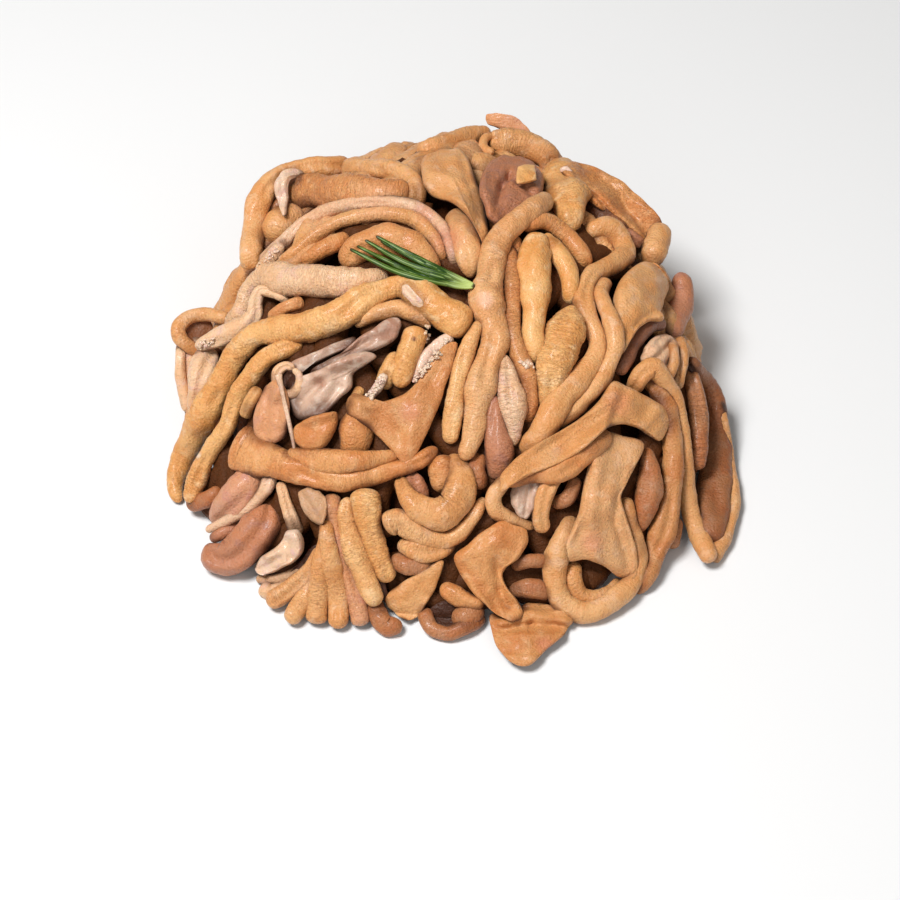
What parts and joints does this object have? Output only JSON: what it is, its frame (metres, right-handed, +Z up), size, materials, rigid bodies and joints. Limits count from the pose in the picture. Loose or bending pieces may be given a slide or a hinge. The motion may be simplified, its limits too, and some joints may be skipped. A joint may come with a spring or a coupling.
{
  "type": "cooked chicken intestine",
  "caption": "Heap of cooked chicken intestine in loose wrinkled loops, with a small rosemary sprig lying on top.",
  "frame": {"origin": "middle of the heap's flat underside, on the surface that it lies on", "axes": "+Z up; -Y towards the heap's low near side, where the loops fan out; +X to its right"},
  "size_m": [0.199, 0.2164, 0.0783],
  "materials": {
    "intestine": "moist, velvety, slightly translucent",
    "rosemary": "waxy leaf"
  },
  "bodies": {
    "root": {"intestine_heap": "intestine", "rosemary_sprig": "rosemary"}
  },
  "joints": []
}
